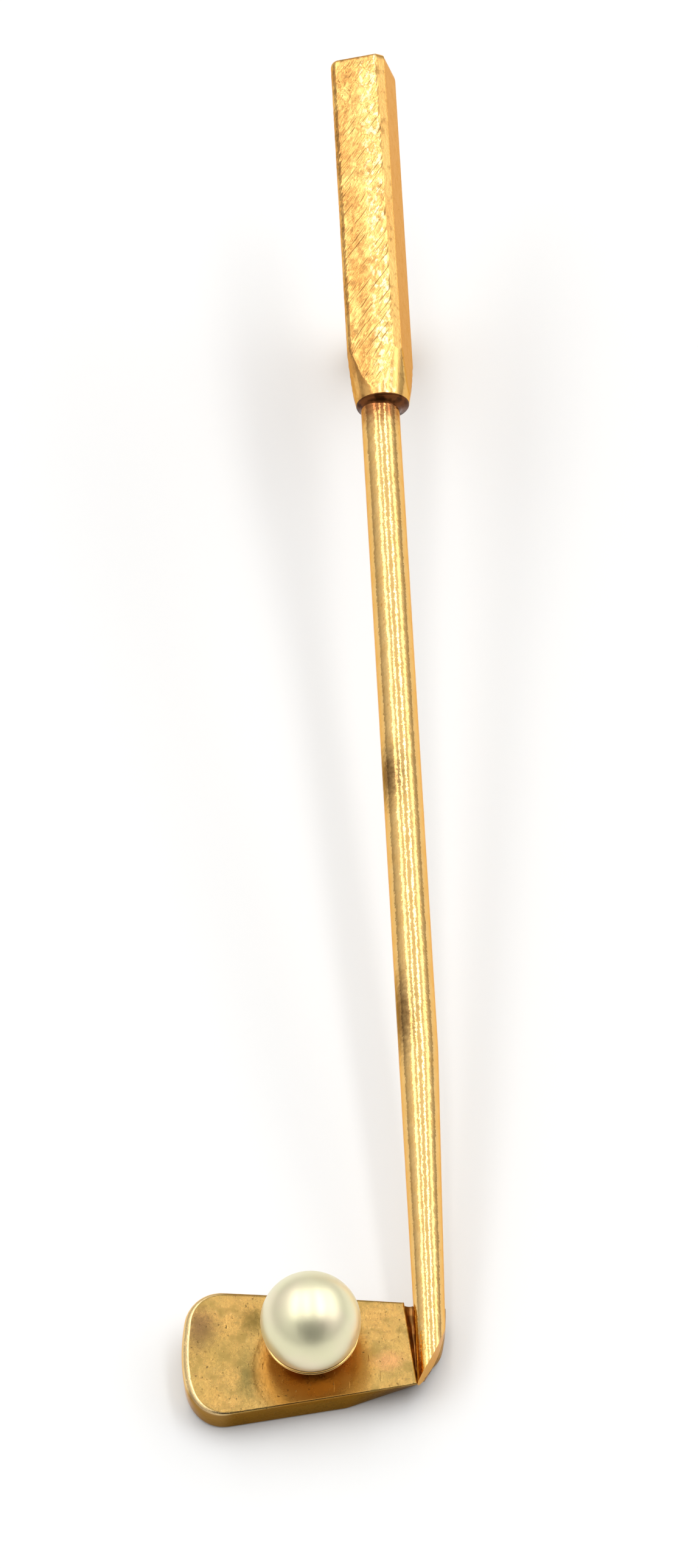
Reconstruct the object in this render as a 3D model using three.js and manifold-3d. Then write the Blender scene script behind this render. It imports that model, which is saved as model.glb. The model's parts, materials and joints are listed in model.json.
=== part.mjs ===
// Golf-club tie tack: a gold putter with a pearl for its ball, a tack post behind the
// grip, and a slim ball-lock clutch on the post. Millimetres, +Z up.
//
// The club is drawn in its own frame: the shaft runs along +Y from the heel to the grip,
// the toe lies towards -X, the club face looks along +Z, and z = 0 is the shaft's axis.
// The last section lays it down as it rests on a table, face up, on its sole and clutch.
import * as THREE from "three";
import { mergeVertices } from "three/addons/utils/BufferGeometryUtils.js";
import Module from "manifold-3d";

const wasm = await Module();
wasm.setup();

const GAP = 0.02; // left between two pieces that are soldered or pressed together
const SLIDE = 0.03; // running clearance between two pieces that move

// ---------------------------------------------------------------- driving dimensions

const PEARL_R = 1.75;
const PEARL_HOLE_R = 0.37;
const PEARL_HOLE_DEPTH = 1.6;

const HEAD_THICKNESS = 1.2;
const HEAD_BEVEL = 0.1;
const HEEL_TAB = 0.6; // thickness left under the shaft
const SOLE_SLOPE = 0.11; // the sole drops towards the toe
const SOLE_AT_SHAFT = 0.13;
const FACE_Z = 0; // the face is level with the shaft's axis

const CUP_X = -4.3;
const CUP_Y = 1.8;
const CUP_FLOOR = 0.2;
const CUP_WALL = 0.09;
const CUP_RIM_ANGLE = THREE.MathUtils.degToRad(66); // up from the pearl's lowest point

const SOLDER_BELOW_FACE = 0.28;

const SHAFT_BOTTOM = -0.5; // the wire's lower end before it is cut to the heel
const SHAFT_R = 0.71;
const SHAFT_HEEL_R = 0.5;
const TAPER_Y = 12.8; // the shaft is round wire above this, and tapers below it
const TENON = 2.5; // length of the shaft's upper end inside the grip

const GRIP_START = 39.1;
const GRIP_END = 53.55;
const GRIP_HALF = 1.04;
const GRIP_CHAMFER = 0.24;
const GRIP_TWIST = THREE.MathUtils.degToRad(13.5); // its front turns towards the toe
const GRIP_OFFSET = 0.1; // the shaft enters a little to one side of the grip's axis
const GRIP_NECK_R = 0.98;
const GRIP_NECK = 1.8; // length over which the corners are rounded down to the neck
// The grip's top corners are eased off: [in from the corner, down from the top].
const GRIP_TOP_EASE = [[0.06, 0.12], [0.22, 0]];
const GRIP_TOP_ROUND = 0.4; // where the easing starts, down from the top
const RING_HEIGHT = 0.3;

const POST_R = 0.33;
const POST_LENGTH = 6.55;
const POST_POINT = 0.9;
const POST_POINT_R = 0.25; // halfway down the point
const PAD_R = 0.88;
const PAD_THICKNESS = 0.35;
const SEAT_DEPTH = 0.3; // thickness of the solder seat on the post's own axis
const CLOTH = 2.05; // room between the pad and the clutch

const CLUTCH_R = 1.12;
const FLANGE_R = 1.18; // no wider than the grip, which covers the clutch from the front
const FLANGE_THICKNESS = 0.4;
const BUSHING_R = 0.52;
const HOUSING_END = 3.3; // depths in the clutch count from the flange's cloth side
const WASHER_THICKNESS = 0.25;
const BORE_R = 0.97;
const CONE_ANGLE = THREE.MathUtils.degToRad(7);
const BALL_R = 0.27;
const BALL_DEPTH = 1.2;
const BALLS = 3;
const CAGE_START = 0.6;
const CAGE_R = 0.69;
const CAGE_STEM_R = 0.51;
const SHOULDER_R = 0.83;
const SHOULDER_START = 1.75;
const SHOULDER_END = 1.95;
const WIRE_R = 0.055;
const SPRING_R = 0.71;
const SPRING_TURNS = 4.5;
const CAP_START = 3.35;
const CAP_END = 5;
const CAP_WAIST_R = 0.93;
const CAP_RIM = 0.3; // width of the cap's rim on the clutch's side
const CAP_BEVEL = 0.15;
const CAP_FLOOR = 0.3; // thickness over the post's point
const STEM_DEPTH = 4;

// ---------------------------------------------------------------- materials

function gold(name, color, roughness) {
  const material = new THREE.MeshStandardMaterial({ color, roughness, metalness: 1 });
  material.name = name;
  return material;
}

const polishedGold = gold("polished_gold", 0xe2b76a, 0.15);
const satinGold = gold("satin_gold", 0xc79a55, 0.4);
const brushedGold = gold("brushed_gold", 0xf0c878, 0.35);
const darkSolder = gold("dark_solder", 0x4a2d18, 0.55);
const springSteel = gold("spring_steel", 0xb4b6b8, 0.25);
const pearlNacre = new THREE.MeshStandardMaterial({ color: 0xe0d2ae, roughness: 0.2 });
pearlNacre.name = "pearl_nacre";

// ---------------------------------------------------------------- helpers

// A closed three.js geometry as a manifold solid.
function solidOf(geometry) {
  const bare = geometry.clone();
  bare.deleteAttribute("normal");
  bare.deleteAttribute("uv");
  const merged = mergeVertices(bare, 1e-5);
  return new wasm.Manifold(
    new wasm.Mesh({
      numProp: 3,
      vertProperties: merged.attributes.position.array,
      triVerts: new Uint32Array(merged.index.array),
    }),
  );
}

// A manifold solid as a three.js geometry.
function geometryOf(solid) {
  const mesh = solid.getMesh();
  const geometry = new THREE.BufferGeometry();
  const positions = new THREE.BufferAttribute(mesh.vertProperties, 3);
  geometry.setAttribute("position", positions);
  geometry.setIndex(new THREE.BufferAttribute(mesh.triVerts, 1));
  geometry.computeVertexNormals();
  return geometry;
}

function addPiece(group, name, geometry, material) {
  const piece = new THREE.Mesh(geometry, material);
  piece.name = name;
  group.add(piece);
  return piece;
}

// A profile of [radius, height] pairs turned about the Y axis. A ring's profile runs
// anticlockwise and closes on its first point; a bar's starts and ends on the axis.
function turned(profile, segments) {
  const points = profile.map(([radius, height]) => new THREE.Vector2(radius, height));
  return new THREE.LatheGeometry(points, segments);
}

function ring(inner, outer, bottom, top, segments) {
  const profile = [
    [inner, bottom],
    [outer, bottom],
    [outer, top],
    [inner, top],
    [inner, bottom],
  ];
  return turned(profile, segments);
}

function bar(radius, bottom, top, segments) {
  return turned([[0, bottom], [radius, bottom], [radius, top], [0, top]], segments);
}

// A flat outline in X and Y, from z = bottom to z = top.
function plate(shape, bottom, top, curveSegments = 12) {
  const options = { depth: top - bottom, bevelEnabled: false, curveSegments };
  return new THREE.ExtrudeGeometry(shape, options).translate(0, 0, bottom);
}

const soleY = (x) => SOLE_AT_SHAFT + SOLE_SLOPE * x;

// ---------------------------------------------------------------- head

// Points round the outline, from the sole round the toe to the top of the heel.
const SOLE_END_X = -7.3;
const TOE_LOW = [-8.84, 0.75];
const TOE_HIGH = [-8.76, 2.8];
const TOP_START = [-7.4, 3.98];
const TOP_END = [-1.02, 3.2];
const HEEL_TOP = [0.42, 3.12];
const HEEL_HIGH = [0.36, 2];
const HEEL_MIDDLE = [0.12, 1.4];
const HEEL_LOW = [-0.12, 0.85];
const FACE_EDGE_TOP = new THREE.Vector2(-1.02, 3.3); // where the face steps down
const FACE_EDGE_SOLE = new THREE.Vector2(-0.7, soleY(-0.7));

function headOutline() {
  const outline = new THREE.Shape();
  outline.moveTo(FACE_EDGE_SOLE.x, FACE_EDGE_SOLE.y);
  outline.lineTo(SOLE_END_X, soleY(SOLE_END_X));
  outline.bezierCurveTo(-8.1, soleY(-8.1), -8.7, -0.2, ...TOE_LOW);
  outline.quadraticCurveTo(-8.96, 1.7, ...TOE_HIGH);
  outline.bezierCurveTo(-8.66, 3.55, -8.1, 4.02, ...TOP_START);
  outline.quadraticCurveTo(-4.2, 3.62, ...TOP_END);
  outline.lineTo(...HEEL_TOP);
  outline.quadraticCurveTo(...HEEL_HIGH, ...HEEL_MIDDLE);
  outline.quadraticCurveTo(...HEEL_LOW, FACE_EDGE_SOLE.x, FACE_EDGE_SOLE.y);
  return outline;
}

function headBlade() {
  const blank = new THREE.ExtrudeGeometry(headOutline(), {
    depth: HEAD_THICKNESS - 2 * HEAD_BEVEL,
    bevelThickness: HEAD_BEVEL,
    bevelSize: HEAD_BEVEL,
    bevelOffset: -HEAD_BEVEL,
    bevelSegments: 3,
    curveSegments: 10,
  }).translate(0, 0, FACE_Z - HEAD_THICKNESS + HEAD_BEVEL);
  // The step's edge carries on in a straight line past the top and the sole.
  const heelSide = 1;
  const high = FACE_EDGE_TOP.clone().lerp(FACE_EDGE_SOLE, -0.15);
  const low = FACE_EDGE_SOLE.clone().lerp(FACE_EDGE_TOP, -0.12);
  const step = new THREE.Shape();
  step.moveTo(high.x, high.y);
  step.lineTo(low.x, low.y);
  step.lineTo(heelSide, low.y);
  step.lineTo(heelSide, high.y);
  const cut = plate(step, FACE_Z - HEAD_THICKNESS + HEEL_TAB, FACE_Z + 1);
  return geometryOf(solidOf(blank).subtract(solidOf(cut)));
}

// ---------------------------------------------------------------- shaft

// The wire's heel side is filed back below TAPER_Y, and its toe side stays straight.
function shaftBody(extra) {
  const heelR = SHAFT_HEEL_R + extra;
  const wireR = SHAFT_R + extra;
  const top = GRIP_START + TENON + extra;
  const profile = [
    [0, SHAFT_BOTTOM],
    [heelR, SHAFT_BOTTOM],
    [wireR, TAPER_Y],
    [wireR, top],
    [0, top],
  ];
  const geometry = turned(profile, 32);
  const position = geometry.attributes.position;
  for (let i = 0; i < position.count; i++) {
    const below = Math.max(0, TAPER_Y - position.getY(i)) / (TAPER_Y - SHAFT_BOTTOM);
    position.setX(i, position.getX(i) - (SHAFT_R - SHAFT_HEEL_R) * below);
  }
  return solidOf(geometry);
}

// The shaft is cut off along the outline of the heel, flush with the tab under it.
function shaft() {
  const clear = 3; // past the shaft on every side
  const above = GRIP_END + clear;
  const room = new THREE.Shape();
  room.moveTo(-clear, SHAFT_BOTTOM);
  room.lineTo(FACE_EDGE_SOLE.x, FACE_EDGE_SOLE.y);
  room.quadraticCurveTo(...HEEL_LOW, ...HEEL_MIDDLE);
  room.quadraticCurveTo(...HEEL_HIGH, 0.8, 3.4);
  room.lineTo(clear, 8);
  room.lineTo(clear, above);
  room.lineTo(-clear, above);
  return geometryOf(shaftBody(0).intersect(solidOf(plate(room, -clear, clear))));
}

// Solder run into the channel between the step in the face and the shaft.
function heelSolder() {
  const top = 3.1;
  const underShaft = -0.42;
  const channel = new THREE.Shape();
  channel.moveTo(FACE_EDGE_TOP.x + 1.5 * GAP, top);
  channel.lineTo(FACE_EDGE_SOLE.x + 2.5 * GAP, 0.35);
  channel.lineTo(underShaft, 0.72);
  channel.lineTo(underShaft, top);
  const floor = FACE_Z - HEAD_THICKNESS + HEEL_TAB;
  const fill = solidOf(plate(channel, floor + GAP, FACE_Z - SOLDER_BELOW_FACE));
  return geometryOf(fill.subtract(shaftBody(GAP)));
}

// ---------------------------------------------------------------- pearl and its cup

const PEARL_Z = FACE_Z + CUP_FLOOR + PEARL_R + GAP;

// Points along an arc about the pearl's centre, as [radius, height] pairs. The angle
// counts up from the lowest point.
function arc(radius, from, to, steps) {
  const points = [];
  for (let i = 0; i <= steps; i++) {
    const angle = from + ((to - from) * i) / steps;
    points.push([radius * Math.sin(angle), -radius * Math.cos(angle)]);
  }
  return points;
}

// Half drilled from below for its peg.
function pearl() {
  const mouth = Math.asin(PEARL_HOLE_R / PEARL_R);
  const holeTop = PEARL_HOLE_DEPTH - PEARL_R;
  const surface = arc(PEARL_R, mouth, Math.PI, 24);
  surface[surface.length - 1][0] = 0;
  return turned([[0, holeTop], [PEARL_HOLE_R, holeTop], ...surface], 40);
}

function pearlCup() {
  const inner = PEARL_R + GAP;
  const floor = FACE_Z + GAP - PEARL_Z;
  const holeAngle = Math.asin(PEARL_HOLE_R / inner);
  const bowl = arc(inner, CUP_RIM_ANGLE, holeAngle, 10);
  const baseAngle = Math.acos(-floor / (inner + CUP_WALL + 0.12));
  const outside = arc(inner + CUP_WALL, baseAngle, CUP_RIM_ANGLE, 8);
  const profile = [
    [PEARL_HOLE_R, floor],
    [outside[0][0], floor],
    ...outside,
    ...bowl,
    [PEARL_HOLE_R, floor],
  ];
  return turned(profile, 40);
}

// The peg stands on the face, passes through the cup's floor and into the pearl.
function pearlPeg() {
  const top = PEARL_HOLE_DEPTH - PEARL_R - 0.1;
  return bar(PEARL_HOLE_R - GAP, FACE_Z + GAP - PEARL_Z, top, 16);
}

// ---------------------------------------------------------------- grip

function gripOutline(grow) {
  const half = GRIP_HALF + grow;
  const flat = half - GRIP_CHAMFER;
  const outline = new THREE.Shape();
  outline.moveTo(-flat, -half);
  for (const [x, y] of [
    [flat, -half],
    [half, -flat],
    [half, flat],
    [flat, half],
    [-flat, half],
    [-half, flat],
    [-half, -flat],
  ]) {
    outline.lineTo(x, y);
  }
  return outline;
}

// The bar stands on z = 0 here, so it is turned to lie along +Y.
function gripBody(grow) {
  const length = GRIP_END - GRIP_START;
  const corner = Math.hypot(GRIP_HALF, GRIP_HALF - GRIP_CHAMFER);
  const clear = 1.5; // outside the corners
  const slope = (corner - GRIP_NECK_R) / GRIP_NECK;
  const [[easeIn, easeDown], [topIn]] = GRIP_TOP_EASE;
  const limits = turned(
    [
      [0, -grow],
      [GRIP_NECK_R + grow, -grow],
      [clear + grow, (clear - GRIP_NECK_R) / slope],
      [clear + grow, length - GRIP_TOP_ROUND],
      [corner - easeIn + grow, length - easeDown],
      [corner - topIn + grow, length + grow],
      [0, length + grow],
    ],
    48,
  );
  const square = plate(gripOutline(grow), -grow, length + grow).rotateX(-Math.PI / 2);
  const body = solidOf(square).intersect(solidOf(limits));
  return geometryOf(body)
    .rotateY(-GRIP_TWIST)
    .translate(GRIP_OFFSET, GRIP_START, 0);
}

function grip() {
  return geometryOf(solidOf(gripBody(0)).subtract(shaftBody(GAP)));
}

// Dark solder on the end of the grip, with a fillet down the shaft.
function gripSolderRing() {
  const outer = GRIP_NECK_R - 0.03;
  const top = GRIP_START - GAP;
  const profile = [
    [0, top - RING_HEIGHT],
    [SHAFT_R - GRIP_OFFSET + 0.14, top - RING_HEIGHT],
    [SHAFT_R + 0.12, top - 0.13],
    [outer, top - 0.07],
    [outer, top],
    [0, top],
  ];
  const blank = turned(profile, 32).translate(GRIP_OFFSET, 0, 0);
  return geometryOf(solidOf(blank).subtract(shaftBody(GAP)));
}

// ---------------------------------------------------------------- tack post

// The tack and its clutch are turned about an axis that runs straight back from the
// grip, so heights here are depths behind the shaft's axis.
const POST_Y = (GRIP_START + GRIP_END) / 2;
const BACK_DEPTH = GRIP_HALF / Math.cos(GRIP_TWIST);
const PAD_DEPTH = BACK_DEPTH + SEAT_DEPTH;
const POST_TIP = PAD_DEPTH + POST_LENGTH;
const CLUTCH_DEPTH = PAD_DEPTH + PAD_THICKNESS + CLOTH;

// Solder between the grip's turned back face and the pad, which lies square to the club.
function tackSeat() {
  const blank = solidOf(bar(PAD_R, BACK_DEPTH - 0.25, PAD_DEPTH - GAP, 28));
  const inPlace = gripBody(GAP).translate(-GRIP_OFFSET, -POST_Y, 0).rotateX(Math.PI / 2);
  return geometryOf(blank.subtract(solidOf(inPlace)));
}

function tackPad() {
  const top = PAD_DEPTH + PAD_THICKNESS;
  const profile = [
    [POST_R + GAP, PAD_DEPTH],
    [PAD_R, PAD_DEPTH],
    [PAD_R, top - 0.08],
    [PAD_R - 0.08, top],
    [POST_R + GAP, top],
    [POST_R + GAP, PAD_DEPTH],
  ];
  return turned(profile, 28);
}

function tackPost() {
  const profile = [
    [0, PAD_DEPTH],
    [POST_R, PAD_DEPTH],
    [POST_R, POST_TIP - POST_POINT],
    [POST_POINT_R, POST_TIP - POST_POINT / 2],
    [0, POST_TIP],
  ];
  return turned(profile, 24);
}

// ---------------------------------------------------------------- clutch

// Depths in this section count from the flange's cloth side.

function clutchBushing() {
  return ring(POST_R + SLIDE, BUSHING_R, GAP, FLANGE_THICKNESS, 24);
}

function clutchFlange() {
  const profile = [
    [BUSHING_R + GAP, 0],
    [FLANGE_R - 0.06, 0],
    [FLANGE_R, 0.06],
    [FLANGE_R, FLANGE_THICKNESS - 0.15],
    [CLUTCH_R + 0.05, FLANGE_THICKNESS],
    [BUSHING_R + GAP, FLANGE_THICKNESS],
    [BUSHING_R + GAP, 0],
  ];
  return turned(profile, 36);
}

const BALL_ORBIT = POST_R + BALL_R + 0.01;
const CONE_AT_BALLS = BALL_ORBIT + (BALL_R + 0.01) / Math.cos(CONE_ANGLE);
const coneR = (depth) => CONE_AT_BALLS + (depth - BALL_DEPTH) * Math.tan(CONE_ANGLE);

// The bore is a cone that narrows towards the flange, so it wedges the balls.
function clutchHousing() {
  const start = FLANGE_THICKNESS + GAP;
  const end = HOUSING_END - WASHER_THICKNESS;
  const coneEnd = BALL_DEPTH + (BORE_R - CONE_AT_BALLS) / Math.tan(CONE_ANGLE);
  const profile = [
    [coneR(start), start],
    [CLUTCH_R, start],
    [CLUTCH_R, end],
    [BORE_R, end],
    [BORE_R, coneEnd],
    [coneR(start), start],
  ];
  return turned(profile, 36);
}

function clutchEndWasher() {
  const start = HOUSING_END - WASHER_THICKNESS + GAP;
  const profile = [
    [CAGE_STEM_R + SLIDE, start],
    [CLUTCH_R, start],
    [CLUTCH_R, HOUSING_END - 0.08],
    [CLUTCH_R - 0.08, HOUSING_END],
    [CAGE_STEM_R + SLIDE, HOUSING_END],
    [CAGE_STEM_R + SLIDE, start],
  ];
  return turned(profile, 36);
}

// A sleeve with a window for each ball, a shoulder for the spring, and a hollow stem.
function clutchCage() {
  const inner = POST_R + SLIDE;
  const profile = [
    [inner, CAGE_START],
    [CAGE_R, CAGE_START],
    [CAGE_R, SHOULDER_START],
    [SHOULDER_R, SHOULDER_START],
    [SHOULDER_R, SHOULDER_END],
    [CAGE_STEM_R, SHOULDER_END],
    [CAGE_STEM_R, STEM_DEPTH],
    [inner, STEM_DEPTH],
    [inner, CAGE_START],
  ];
  let cage = solidOf(turned(profile, 36));
  for (let i = 0; i < BALLS; i++) {
    const drill = new THREE.CylinderGeometry(BALL_R + SLIDE, BALL_R + SLIDE, CAGE_R, 16);
    drill.rotateZ(Math.PI / 2).translate((inner + CAGE_R) / 2 + SLIDE, BALL_DEPTH, 0);
    drill.rotateY((2 * Math.PI * i) / BALLS);
    cage = cage.subtract(solidOf(drill));
  }
  return geometryOf(cage);
}

class Helix extends THREE.Curve {
  constructor(radius, start, end, turns) {
    super();
    Object.assign(this, { radius, start, end, turns });
  }
  getPoint(t) {
    const angle = 2 * Math.PI * this.turns * t;
    return new THREE.Vector3(
      this.radius * Math.cos(angle),
      this.start + (this.end - this.start) * t,
      this.radius * Math.sin(angle),
    );
  }
}

function clutchSpring() {
  const margin = WIRE_R + 0.04;
  const end = HOUSING_END - WASHER_THICKNESS - margin;
  const path = new Helix(SPRING_R, SHOULDER_END + margin, end, SPRING_TURNS);
  const wire = new THREE.Shape().absarc(0, 0, WIRE_R, 0, 2 * Math.PI);
  const steps = Math.round(14 * SPRING_TURNS);
  return new THREE.ExtrudeGeometry(wire, { extrudePath: path, steps, curveSegments: 6 });
}

// A waisted cap to pull on. It is fixed to the cage's stem and covers the post's point.
function clutchPullCap() {
  const stemR = CAGE_STEM_R + GAP;
  const tipR = POST_R + SLIDE;
  const profile = [
    [stemR, CAP_START],
    [CLUTCH_R, CAP_START],
    [CLUTCH_R, CAP_START + CAP_RIM],
    [CAP_WAIST_R, CAP_START + CAP_RIM + 0.2],
    [CAP_WAIST_R, CAP_END - 0.75],
    [CLUTCH_R, CAP_END - 0.5],
    [CLUTCH_R, CAP_END - CAP_BEVEL],
    [CLUTCH_R - CAP_BEVEL, CAP_END],
    [0, CAP_END],
    [0, CAP_END - CAP_FLOOR],
    [tipR, CAP_END - CAP_FLOOR],
    [tipR, STEM_DEPTH + GAP],
    [stemR, STEM_DEPTH + GAP],
    [stemR, CAP_START],
  ];
  return turned(profile, 36);
}

// ---------------------------------------------------------------- assembly

const club = new THREE.Group();
addPiece(club, "head_blade", headBlade(), satinGold);
addPiece(club, "heel_solder", heelSolder(), darkSolder);
addPiece(club, "shaft", shaft(), polishedGold);
addPiece(club, "grip", grip(), brushedGold);
addPiece(club, "grip_solder_ring", gripSolderRing(), darkSolder);

const setting = new THREE.Group();
setting.position.set(CUP_X, CUP_Y, PEARL_Z);
setting.rotation.x = Math.PI / 2;
addPiece(setting, "pearl_cup", pearlCup(), polishedGold);
addPiece(setting, "pearl_peg", pearlPeg(), polishedGold);
addPiece(setting, "pearl", pearl(), pearlNacre);
club.add(setting);

const tack = new THREE.Group();
tack.position.set(GRIP_OFFSET, POST_Y, 0);
tack.rotation.x = -Math.PI / 2;
addPiece(tack, "tack_seat", tackSeat(), darkSolder);
addPiece(tack, "tack_pad", tackPad(), polishedGold);
addPiece(tack, "tack_post", tackPost(), polishedGold);
club.add(tack);

const clutch = new THREE.Group();
clutch.position.y = CLUTCH_DEPTH;
addPiece(clutch, "clutch_bushing", clutchBushing(), polishedGold);
addPiece(clutch, "clutch_flange", clutchFlange(), polishedGold);
addPiece(clutch, "clutch_housing", clutchHousing(), polishedGold);
addPiece(clutch, "clutch_end_washer", clutchEndWasher(), polishedGold);
addPiece(clutch, "clutch_cage", clutchCage(), polishedGold);
for (let i = 0; i < BALLS; i++) {
  const geometry = new THREE.SphereGeometry(BALL_R, 14, 10);
  const ball = addPiece(clutch, `clutch_ball_${i + 1}`, geometry, springSteel);
  const angle = (2 * Math.PI * i) / BALLS;
  ball.position.set(BALL_ORBIT * Math.cos(angle), BALL_DEPTH, -BALL_ORBIT * Math.sin(angle));
}
addPiece(clutch, "clutch_spring", clutchSpring(), springSteel);
addPiece(clutch, "clutch_pull_cap", clutchPullCap(), polishedGold);
tack.add(clutch);

// ---------------------------------------------------------------- resting on a table

// The back edge of the sole and the near side of the cap's end carry the club, and the
// plane through them is the table.
const back = FACE_Z - HEAD_THICKNESS;
const heelFoot = new THREE.Vector3(FACE_EDGE_SOLE.x, FACE_EDGE_SOLE.y + HEAD_BEVEL, back);
const toeFoot = new THREE.Vector3(SOLE_END_X, soleY(SOLE_END_X) + HEAD_BEVEL, back);
const capRimY = POST_Y - (CLUTCH_R - CAP_BEVEL);
const capFoot = new THREE.Vector3(GRIP_OFFSET, capRimY, -(CLUTCH_DEPTH + CAP_END));
const along = toeFoot.sub(heelFoot);
const up = new THREE.Vector3().crossVectors(capFoot.sub(heelFoot), along).normalize();

// World +Z is the table's normal, and the shaft points along world +Y seen from above.
const shaftAxis = new THREE.Vector3(0, 1, 0);
const forward = shaftAxis.clone().addScaledVector(up, -shaftAxis.dot(up)).normalize();
const right = new THREE.Vector3().crossVectors(forward, up);
const laidDown = new THREE.Matrix4().makeBasis(right, forward, up).transpose();
club.applyMatrix4(laidDown);

const tieTack = new THREE.Group();
tieTack.name = "tie_tack";
tieTack.add(club);
tieTack.updateMatrixWorld(true);
const box = new THREE.Box3().setFromObject(tieTack, true);
const centre = box.getCenter(new THREE.Vector3());
club.position.set(-centre.x, -centre.y, -box.min.z);

export default tieTack;
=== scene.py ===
"""Looks for the golf-club tie tack: a gold putter with a pearl, its tack post and clutch.

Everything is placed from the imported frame. Shapes are worked out in millimetres in the
club's own frame: +X towards the heel, +Y up the shaft to the grip, +Z out of the face,
with z = 0 on the shaft's axis.
"""

import json
import math

import bmesh
import bpy
import numpy as np
from mathutils import Matrix, Vector
from mathutils.geometry import delaunay_2d_cdt


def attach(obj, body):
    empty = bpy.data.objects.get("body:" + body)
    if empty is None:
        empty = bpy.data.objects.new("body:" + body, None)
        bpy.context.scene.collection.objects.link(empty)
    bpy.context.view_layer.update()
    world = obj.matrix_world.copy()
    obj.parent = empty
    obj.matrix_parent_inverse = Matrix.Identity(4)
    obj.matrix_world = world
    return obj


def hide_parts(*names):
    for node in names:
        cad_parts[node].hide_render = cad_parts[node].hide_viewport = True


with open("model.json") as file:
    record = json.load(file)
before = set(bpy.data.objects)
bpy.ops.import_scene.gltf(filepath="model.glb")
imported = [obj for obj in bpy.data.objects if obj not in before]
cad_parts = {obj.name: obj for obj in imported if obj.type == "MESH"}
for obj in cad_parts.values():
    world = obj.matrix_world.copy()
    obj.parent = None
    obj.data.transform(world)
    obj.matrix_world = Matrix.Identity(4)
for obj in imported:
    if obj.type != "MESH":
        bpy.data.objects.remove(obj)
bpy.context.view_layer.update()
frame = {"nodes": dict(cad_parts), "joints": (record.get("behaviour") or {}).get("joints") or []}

MM = 0.001

# ------------------------------------------------------------------ sizes, millimetres

HEAD_THICKNESS = 1.2
HEEL_TAB = 0.6
SOLE_SLOPE = 0.11
SOLE_AT_SHAFT = 0.13
EDGE_BEVEL = 0.27  # burnished band inside a rounded edge, as a share of the edge's radius
EDGE_TILT = math.radians(15)
SOLE_LIFT = 0.5  # how far the back of the sole rises at the heel
SOLE_LIFT_START = -3.2
SOLE_LIFT_HEIGHT = 1.5
STEP_TOP = np.array([-1.02, 3.2])
STEP_SOLE = np.array([-0.7, SOLE_AT_SHAFT + SOLE_SLOPE * -0.7])

PEARL_R = 1.75
PEARL_HOLE_R = 0.37
PEARL_HOLE_DEPTH = 1.6
CUP_X = -4.3
CUP_Y = 1.8
CUP_FLOOR = 0.2
CUP_WALL = 0.09
CUP_RIM_ANGLE = math.radians(66)
PEARL_Z = CUP_FLOOR + PEARL_R + 0.02

SHAFT_R = 0.71
SHAFT_HEEL_R = 0.5
TAPER_Y = 12.8
SHAFT_BOTTOM = -0.5
TENON = 2.5

GRIP_START = 39.1
GRIP_END = 53.55
GRIP_HALF = 1.04
GRIP_CHAMFER = 0.24
WORN_CORNER = 0.99  # how far out the worn front left corner's curve is drawn
FACET_SLOPE = 0.24  # of the facets that round the grip's corners down to its neck
GRIP_TOP_ROUND = 0.3
GRIP_TWIST = math.radians(13.5)
GRIP_OFFSET = 0.1
NECK_R = 0.98
NECK_LENGTH = 1.8

POST_Y = (GRIP_START + GRIP_END) / 2
BACK_DEPTH = GRIP_HALF / math.cos(GRIP_TWIST)
PAD_DEPTH = BACK_DEPTH + 0.3
PAD_R = 0.88
PAD_THICKNESS = 0.35
POST_R = 0.33
POST_LENGTH = 6.55
POST_POINT = 0.9
CLUTCH_DEPTH = PAD_DEPTH + PAD_THICKNESS + 2.05
CLUTCH_R = 1.12
FLANGE_R = 1.18
FLANGE_THICKNESS = 0.4
BUSHING_R = 0.52
HOUSING_END = 3.3
WASHER_THICKNESS = 0.25
BORE_R = 0.97
STEM_R = 0.51
STEM_DEPTH = 4.0

# The disc round the pearl's cup: the face is set a few microns down inside it, and its darker orange colour
# is a painted reflection of the pearl.
PEARL_REFLECTION_DISC = (-4.3, 0.9)
PEARL_REFLECTION_DISC_R = 2.1
ZONE_EDGE = 0.09
ZONE_DEPTH = 0.007
CAP_START = 3.35
CAP_END = 5.0

# ------------------------------------------------------------------ frames


def joint(name):
    return next(j for j in frame["joints"] if j["name"] == name)


def club_matrix():
    """Club millimetres to row metres, from the clutch's joint at the grip's back."""
    spin = joint("clutch_spin")
    z_axis = -Vector(spin["axis"]).normalized()
    y_axis = Vector((0, z_axis.z, -z_axis.y)).normalized()
    x_axis = y_axis.cross(z_axis)
    turn = Matrix((x_axis, y_axis, z_axis)).transposed()
    clutch = Vector((GRIP_OFFSET, POST_Y, -CLUTCH_DEPTH)) * MM
    origin = Vector(spin["pos_m"]) - turn @ clutch
    return Matrix.Translation(origin) @ turn.to_4x4() @ Matrix.Scale(MM, 4)


CLUB = club_matrix()
CLUB_NP = np.array(CLUB)
CLUB_INVERSE = np.linalg.inv(CLUB_NP)


def moved(points, matrix):
    points = np.asarray(points, float)
    return points @ matrix[:3, :3].T + matrix[:3, 3]


# ------------------------------------------------------------------ noise for shapes


def lattice_noise(x, y, seed):
    """Smooth noise from 0 to 1 on a lattice of unit squares."""
    table = np.random.RandomState(seed).rand(64, 64)
    x0, y0 = np.floor(x).astype(int), np.floor(y).astype(int)
    fx, fy = x - x0, y - y0
    fx, fy = fx * fx * (3 - 2 * fx), fy * fy * (3 - 2 * fy)
    a = table[x0 % 64, y0 % 64]
    b = table[(x0 + 1) % 64, y0 % 64]
    c = table[x0 % 64, (y0 + 1) % 64]
    d = table[(x0 + 1) % 64, (y0 + 1) % 64]
    return (a * (1 - fx) + b * fx) * (1 - fy) + (c * (1 - fx) + d * fx) * fy


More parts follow.
